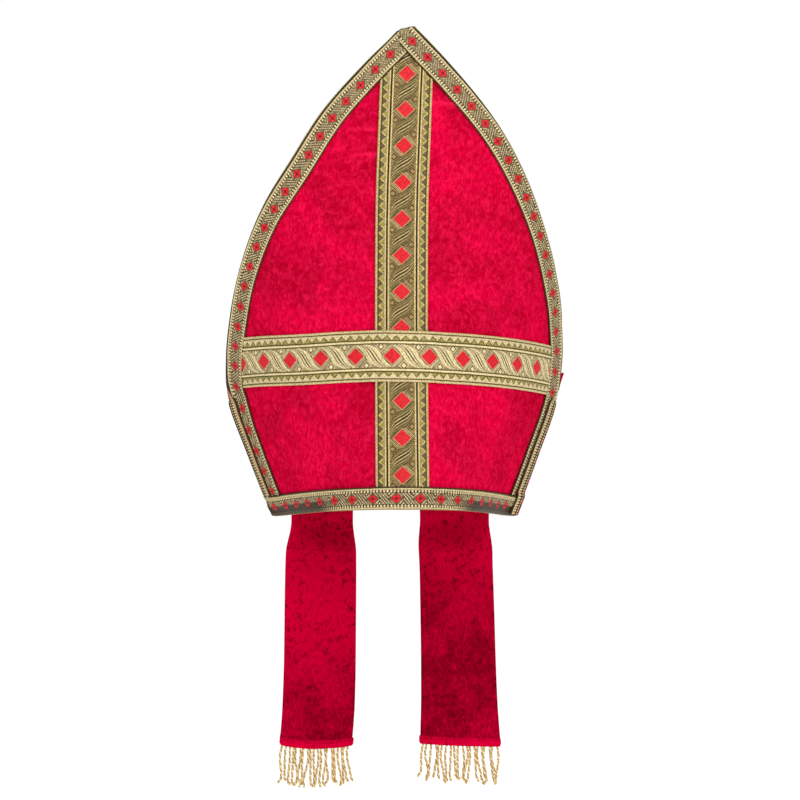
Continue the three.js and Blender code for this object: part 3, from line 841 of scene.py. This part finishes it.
class MITRE_OT_rims(bpy.types.Operator):
    """Makes the narrow braid along the rim, rolled a little way under it"""
    bl_idname = "mitre.rims"
    bl_label = "Rim braids"

    def execute(self, context):
        look = context.scene.mitre
        for which, sheet, cell in (("front", FRONT, look.edge_cell), ("back", BACK, BACK_CELL)):
            piece = self.braid(f"{which}_rim_weave", sheet, cell)
            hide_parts(f"{which}_rim_braid")
        return {"FINISHED"}

    def braid(self, name, sheet, cell):
        roll, radius, under, inset = 4.0, 2.2, 0.5, 2.5
        quarter = radius * math.pi / 2
        left = -float(sheet.arcs["left"](np.array(8.0))) + inset
        right = float(sheet.arcs["right"](np.array(8.0))) - inset

        def follow(a, c):
            # out to both side seams, which lean outwards
            up = c + NARROW_BRAID / 2 + 1.4
            turn = np.clip((up - under) / quarter, 0, 1) * np.pi / 2
            rise = -under + radius * (1 - np.cos(turn)) + np.maximum(0, up - roll)
            tucked = radius * (1 - np.sin(turn)) + np.maximum(0, under - up)
            s = left + a if sheet.facing < 0 else right - a
            far_left, far_right = -sheet.arcs["left"](rise) + inset, sheet.arcs["right"](rise) - inset
            s = np.where(s < 0, s * far_left / left, s * far_right / right)
            # the rim braid lies over the ends of the other braids
            from_seam = sheet.arc(s, rise) - np.abs(s)
            ends = smooth((26 - from_seam) / 5)
            band = smooth((22 - np.abs(s)) / 3) * (sheet.facing < 0)
            over = 1.3 * np.maximum(ends, band) * smooth((rise - 4) / 5)
            # each end is pressed flat against the side seam
            over = over - 1.8 * smooth((7 - from_seam) / 6) * smooth((rise - 5) / 6)
            return s, sheet.rim(s) + rise, (s + 4.5 + NARROW_PITCH * 20) * -sheet.facing, over - tucked

        def weave(a, c):
            # towards the sides the roll of the braid is in its own shadow
            cloth = narrow_weave(a, c, 1.0)
            far = smooth((np.abs(np.abs(a) - NARROW_PITCH * 20) - 40) / 30)
            fleck = 0.1 + 0.1 * np.sin(a * 4.4) * np.sin(c * 4.3)
            cloth.lay(far * between(c, -7.4, 0.3, 1.2) * (1 - cloth.red) * (1 - fleck), 0.08, dark=0.95)
            cloth.lay(0.5 * far * between(c, 4.6, 7.0, 0.8), 0.2, olive=0.3, cream=0.5)
            cloth.lay(between(c, -9.0, -7.4), 0.1, olive=0.7, cream=0.25)
            return cloth

        return braid_piece(name, sheet, right - left, NARROW_BRAID, cell, follow, weave, RIM_LIFT,
                           "narrow_braid")


def hanging(side, u, z, lift):
    """A point on a lappet that hangs freely: u goes across it from 0 to 1."""
    rows = LAPPETS[side]
    turn = np.radians(column(rows, "turn")(z))
    along = (u - 0.5) * LAPPET_WIDTH
    x = column(rows, "x")(z) + np.cos(turn) * along + np.sin(turn) * lift
    y = column(rows, "y")(z) + np.sin(turn) * along - np.cos(turn) * lift
    return np.stack([x, y, z + 0 * x], -1)


def hem_height(side, u):
    """Height of a lappet's lower edge across its width."""
    left, middle, right = HEMS[side]
    bend = 4 * u * (1 - u)
    return blend(left, right, u) + (middle - (left + right) / 2) * bend


class MITRE_OT_lappets(bpy.types.Operator):
    """Makes the two velvet lappets and their fringes"""
    bl_idname = "mitre.lappets"
    bl_label = "Lappets and fringes"

    def execute(self, context):
        look = context.scene.mitre
        for number, side in enumerate(LAPPETS):
            cloth = self.cloth(side)
            cords = self.cords(side, look.cords, look.cord_width, 11 + number)
            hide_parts(f"lappet_{side}")
            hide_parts(f"fringe_{side}")
        return {"FINISHED"}

    def cloth(self, side):
        hem, wall = 7.2, 2.0
        # the second number is the height from which the lappet is painted brighter upwards, a painted
        # highlight
        phase, painted_light_from = (2.0, -170.0) if side == "left" else (0.5, -105.0)

        def above_hem(u, v):
            low = hem_height(side, u)
            z = blend(low, LAPPET_TUCK, v)
            return z, z - low

        def place(u, v):
            z, above = above_hem(u, v)
            turned = smooth((hem - above) / 0.8)
            crease = np.exp(-((above - hem - 0.2) / 0.9) ** 2)
            lift = 1.1 + 0.75 * turned * np.sqrt(np.clip(above / 1.2, 0, 1)) - 0.5 * crease
            lift += 0.9 * np.sin(np.pi * u) * np.sin(z / 38.0 + phase)
            lift += 0.25 * np.sin(u * 9.0 + z / 25.0)
            # the folded hem bulges a little past the edges, and its lower corners are round
            round_end = 0.03 * (1 - np.sqrt(np.clip(above / 2.2, 0, 1)))
            u = 0.5 + (u - 0.5) * (1 + 0.022 * turned - round_end)
            tucked = smooth((z + 30) / 26)
            middle, width = SEWN[side]
            sewn = BACK.lifted(middle + (u - 0.5) * width, np.maximum(z, -30), -(SHIELD_WALL + 3.1))
            return blend(hanging(side, u, z, lift), sewn, tucked[:, None])

        def pile(u, v):
            z, above = above_hem(u, v)
            seam = np.exp(-((above - hem) / 0.8) ** 2)
            # painted highlight: besides the brushed pile of the hem, the lappet is painted brighter towards
            # the top
            stitched = 0.6 * np.exp(-((above - 4.6) / 0.7) ** 2)
            folded = 0.85 * smooth((hem - above) / 1.0)
            up = folded * (1 - seam) * (1 - stitched) * (0.75 + 0.25 * smooth(above / 4))
            # painted highlight: brighter over the 100 mm above this height, towards the top
            up = up + 0.8 * smooth((z - painted_light_from) / 100)
            return up, up, up, np.ones_like(up)

        return grid_piece(f"lappet_velvet_{side}", 50, 170, place, "velvet_shade", ("pile", pile), wall)

    def cords(self, side, count, width, seed):
        """Cords of two plies twisted together, each ply swelling a little towards its end, where the real
        cord is doubled back into a small loop.
        """
        chance = np.random.default_rng(seed)
        curve = bpy.data.curves.new(f"fringe_cords_{side}", "CURVE")
        curve.dimensions = "3D"
        curve.bevel_depth = width * 0.29
        curve.bevel_resolution = 1
        curve.use_fill_caps = True
        for entry in ("thread_gold", "thread_cream"):
            curve.materials.append(MATERIALS[entry])
        steps = 44
        longest, spare, one_turn = 31.5, 4.0, 5.4
        t = np.linspace(0, 1, steps)
        # each ply swells a little at the looped end
        swell = 1 + 0.5 * smooth((t - 0.85) / 0.1) - 0.95 * smooth((t - 0.955) / 0.045)
        for i in range(count):
            middle = 0.02 + 0.96 * (i + 0.5 + chance.uniform(-0.14, 0.14)) / count
            length = longest - spare * chance.random() ** 1.5
            splay = (middle - 0.5) * 0.1 + chance.uniform(-0.035, 0.035)
            sway = chance.uniform(-0.024, 0.024)
            lift = chance.uniform(-1.6, 1.6)
            curl = chance.choice((-1, 1)) * 0.022 * smooth((t - 0.86) / 0.14)
            across = middle + splay * t ** 1.4 + sway * np.sin(t * np.pi * 1.7) + curl
            base = hem_height(side, middle) + 1.4
            line = hanging(side, across, base - t * length, lift * t)
            phase = chance.uniform(0, 2 * np.pi)
            turns = 2 * np.pi * t * length / one_turn
            radius = width / MM * 0.25 * swell
            for ply in (0, 1):
                angle = phase + turns + np.pi * ply
                points = line + np.stack([np.cos(angle) * radius, np.sin(angle) * radius, 0 * t], -1)
                spline = curve.splines.new("POLY")
                spline.points.add(steps - 1)
                spline.points.foreach_set("co", np.c_[points * MM, np.ones(steps)].ravel())
                spline.material_index = ply
                spline.use_smooth = True
        maker = bpy.data.objects.new("cords_curve", curve)
        mesh = bpy.data.meshes.new_from_object(maker)
        mesh.name = f"fringe_cords_{side}"
        bpy.data.objects.remove(maker)
        return finish_piece(f"fringe_cords_{side}", mesh)


class MITRE_OT_stage(bpy.types.Operator):
    """Makes the floor, the lights and the camera"""
    bl_idname = "mitre.stage"
    bl_label = "Stage"

    def execute(self, context):
        look = context.scene.mitre
        scene = context.scene
        bm = bmesh.new()
        bmesh.ops.create_grid(bm, x_segments=1, y_segments=1, size=30.0)
        bmesh.ops.translate(bm, verts=bm.verts, vec=(0, 0, look.floor_height))
        mesh = bpy.data.meshes.new("floor")
        bm.to_mesh(mesh)
        bm.free()
        floor = bpy.data.objects.new("floor", mesh)
        mesh.materials.append(MATERIALS["floor"])
        scene.collection.objects.link(floor)
        self.sky(scene, look)
        for name, place, size, power in (
            ("key", (0.55, -2.2, 1.2), 1.3, look.key),
            ("fill", (-1.9, -1.3, 0.5), 1.6, look.fill),
        ):
            light = bpy.data.lights.new(name, "AREA")
            light.size, light.energy = size, power
            lamp = bpy.data.objects.new(name, light)
            lamp.location = place
            lamp.rotation_euler = (Vector((0, 0, 0.1)) - Vector(place)).to_track_quat("-Z", "Y").to_euler()
            scene.collection.objects.link(lamp)
        self.camera(scene, look)
        scene.view_settings.view_transform = "Standard"
        return {"FINISHED"}

    def sky(self, scene, look):
        """A white room: the background is white, and the light that comes from it is softer."""
        world = bpy.data.worlds.new("studio")
        world.use_nodes = True
        tree = world.node_tree
        background = tree.nodes["Background"]
        background.inputs["Color"].default_value = (1, 1, 1, 1)
        seen = add_node(tree, "LightPath").outputs["Is Camera Ray"]
        strength = add_node(tree, "MapRange", None, {"Value": seen}, To_Min=look.sky, To_Max=1.0)
        tree.links.new(strength.outputs["Result"], background.inputs["Strength"])
        scene.world = world

    def camera(self, scene, look):
        data = bpy.data.cameras.new("camera")
        data.sensor_width = 36.0
        data.lens = look.lens
        data.clip_start, data.clip_end = 0.05, 60.0
        camera = bpy.data.objects.new("camera", data)
        around, up = look.camera_around, look.camera_pitch
        camera.location = (look.camera_distance * math.sin(around), -look.camera_distance * math.cos(around),
                           look.camera_height)
        heading = around + look.camera_yaw
        aim = Vector((-math.sin(heading) * math.cos(up), math.cos(heading) * math.cos(up), math.sin(up)))
        camera.rotation_euler = aim.to_track_quat("-Z", "Y").to_euler()
        scene.collection.objects.link(camera)
        scene.camera = camera


def shade(name, description, code):
    return FloatVectorProperty(name=name, description=description, default=colour(code), size=4, min=0.0,
                               max=1.0, subtype="COLOR")


class MitreSettings(bpy.types.PropertyGroup):
    """Sizes, colours and light that a user would change"""
    velvet: shade("Velvet", "Red of the velvet", "D80036")
    velvet_deep: shade("Velvet, pressed", "Red where the pile is pressed down", "A40020")
    velvet_bright: shade("Velvet, brushed", "Red where the pile catches the light", "FF2058")
    # painted shade: the two lappet reds are darker copies of the velvet's reds, as the lappets hang where
    # less light falls
    velvet_lappet_shaded: shade("Lappet velvet", "Red of the lappets, whose pile lies the other way", "A40028")
    velvet_lappet_shaded_deep: shade("Lappet velvet, pressed", "Red of the lappets where the pile lies flat", "6E0014")
    ground: shade("Braid ground", "Dull gold of the woven ground", "785420")
    cream: shade("Braid cream", "Pale thread of the braids", "FAE6B0")
    olive: shade("Braid olive", "Green-gold thread of the braids", "90862E")
    red: shade("Braid red", "Thread of the diamonds", "EE2430")
    # dark is also the colour of painted shade on the braids: at the sides of the rim braid, on the upright
    # band, at the narrow braids' edges and beside the wide tape
    dark: shade("Braid dark", "Brown-black thread of the braids", "20150B")
    fringe_gold: shade("Fringe gold", "Gold ply of the fringe", "D8AC58")
    fringe_cream: shade("Fringe cream", "Pale ply of the fringe", "F6EABC")
    floor: shade("Floor", "Colour of the floor", "FAFAFA")
    band_cell: FloatProperty(name="Wide braid detail", default=0.45, min=0.3, max=3.0,
                             description="Spacing of the points that carry the weave, mm")
    edge_cell: FloatProperty(name="Narrow braid detail", default=0.45, min=0.3, max=3.0,
                             description="Spacing of the points that carry the weave, mm")
    cords: IntProperty(name="Cords", description="Cords in each fringe", default=20, min=4, max=40)
    cord_width: FloatProperty(name="Cord width", description="Thickness of a fringe cord", default=0.0021,
                              min=0.001, max=0.006, unit="LENGTH")
    floor_height: FloatProperty(name="Floor height", description="Height of the floor, from the rim",
                                default=-0.3, unit="LENGTH")
    sky: FloatProperty(name="Sky", description="Strength of the light from all round", default=0.5)
    key: FloatProperty(name="Key", description="Power of the main light, watts", default=30.0)
    fill: FloatProperty(name="Fill", description="Power of the light on the other side, watts", default=4.0)
    lens: FloatProperty(name="Lens", description="Focal length in mm on a 36 mm sensor", default=75.57)
    camera_distance: FloatProperty(name="Camera distance", description="From the origin, along the ground",
                                   default=1.289, unit="LENGTH")
    camera_height: FloatProperty(name="Camera height", description="Above the rim", default=0.011,
                                 unit="LENGTH")
    camera_around: FloatProperty(name="Camera angle", description="Round the mitre from straight ahead",
                                 default=math.radians(-4.47), unit="ROTATION")
    camera_pitch: FloatProperty(name="Camera pitch", description="Upwards", default=math.radians(3.46),
                                unit="ROTATION")
    camera_yaw: FloatProperty(name="Camera yaw", description="Turn away from the mitre's axis",
                              default=math.radians(-0.29), unit="ROTATION")


OPERATORS = (MITRE_OT_velvet, MITRE_OT_bands, MITRE_OT_edges, MITRE_OT_rims, MITRE_OT_lappets,
             MITRE_OT_stage)


class MITRE_PT_panel(bpy.types.Panel):
    """Lists the settings and the steps"""
    bl_label = "Mitre"
    bl_idname = "MITRE_PT_panel"
    bl_space_type = "VIEW_3D"
    bl_region_type = "UI"
    bl_category = "Mitre"

    def draw(self, context):
        for name in MitreSettings.__annotations__:
            self.layout.prop(context.scene.mitre, name)
        for operator in OPERATORS:
            self.layout.operator(operator.bl_idname)


CLASSES = (MitreSettings, *OPERATORS, MITRE_PT_panel)


def register():
    for entry in CLASSES:
        bpy.utils.register_class(entry)
    bpy.types.Scene.mitre = PointerProperty(type=MitreSettings)


def unregister():
    del bpy.types.Scene.mitre
    for entry in reversed(CLASSES):
        bpy.utils.unregister_class(entry)


def make_materials(look):
    # crushed velvet, its pile pressed in patches: it shimmers between deep and bright red
    MATERIALS["velvet"] = velvet("crushed_velvet_red", look.velvet, look.velvet_deep, look.velvet_bright,
                                 1.25)
    # the same velvet, seen inside between the horns and on the lappets, where less light falls
    MATERIALS["velvet_inner"] = velvet("crushed_velvet_gusset", look.velvet, look.velvet_deep, look.velvet)
    MATERIALS["velvet_shade"] = velvet("crushed_velvet_lappet", look.velvet_lappet_shaded, look.velvet_lappet_shaded_deep,
                                       look.velvet, 2.2)
    # jacquard-woven braid of metal and cotton thread: dull gold ground with glinting floats
    threads = (look.ground, look.cream, look.red, look.dark, look.olive)
    MATERIALS["band_level"] = woven("jacquard_braid_wide_level", *threads)
    MATERIALS["narrow_braid"] = woven("jacquard_braid_narrow", *threads)
    # the same braid turned upright: its pale floats lie across the light and look a deeper gold
    gold = [part * share for part, share in zip(look.cream, (0.86, 0.8, 0.66, 1.0))]
    MATERIALS["band_upright"] = woven("jacquard_braid_wide_upright", look.ground, gold, *threads[2:])
    # twisted metal thread over a cotton core
    # the second colour of each is the painted shadow between the glints
    MATERIALS["thread_gold"] = twisted("metal_thread_gold", look.fringe_gold, colour("5E3C14"))
    MATERIALS["thread_cream"] = twisted("metal_thread_pale", look.fringe_cream, colour("A8823E"))
    # matt painted studio floor
    MATERIALS["floor"] = painted("studio_floor_matt", look.floor, 0.6)


def main():
    register()
    make_materials(bpy.context.scene.mitre)
    for step in (bpy.ops.mitre.stage, bpy.ops.mitre.velvet, bpy.ops.mitre.bands, bpy.ops.mitre.edges,
                 bpy.ops.mitre.rims, bpy.ops.mitre.lappets):
        step()
    bpy.context.view_layer.update()


if __name__ == "__main__":
    main()
